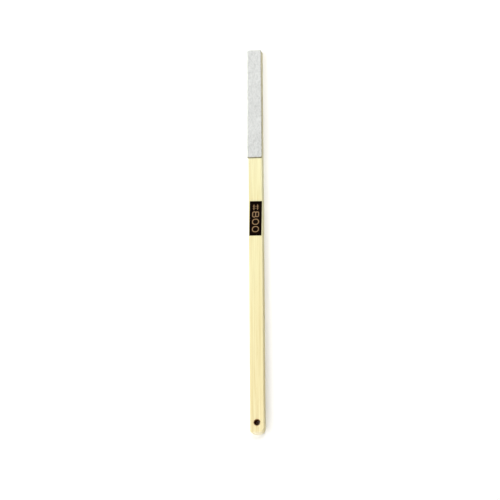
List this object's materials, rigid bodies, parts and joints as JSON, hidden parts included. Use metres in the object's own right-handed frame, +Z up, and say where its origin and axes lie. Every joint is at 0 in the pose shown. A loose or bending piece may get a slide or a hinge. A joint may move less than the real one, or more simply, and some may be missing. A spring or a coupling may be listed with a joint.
{
  "type": "sanding stick",
  "caption": "Slim wooden hand tool with a fine flat abrasive pad on one face at the working end, a small black label and a rounded tail with a hanging hole.",
  "frame": {"origin": "on the underside of the lath, midway along its length and its width", "axes": "+Y along the lath towards the abrasive end, +X across its width, +Z up out of the abrasive face"},
  "size_m": [0.0113, 0.3, 0.0068],
  "materials": {
    "pale_wood": "planed and lightly sanded, bare",
    "dark_glue": "dull contact glue",
    "dark_backing": "dull cut edge",
    "pale_grey_grit": "fine matt abrasive grit",
    "clear_glue": "thin pressure-sensitive glue",
    "black_film": "satin printed tape"
  },
  "bodies": {
    "root": {"handle_stick": "pale_wood", "pad_adhesive": "dark_glue", "pad_backing": "dark_backing", "abrasive_sheet": "pale_grey_grit", "label_adhesive": "clear_glue", "label_film": "black_film"}
  },
  "joints": []
}
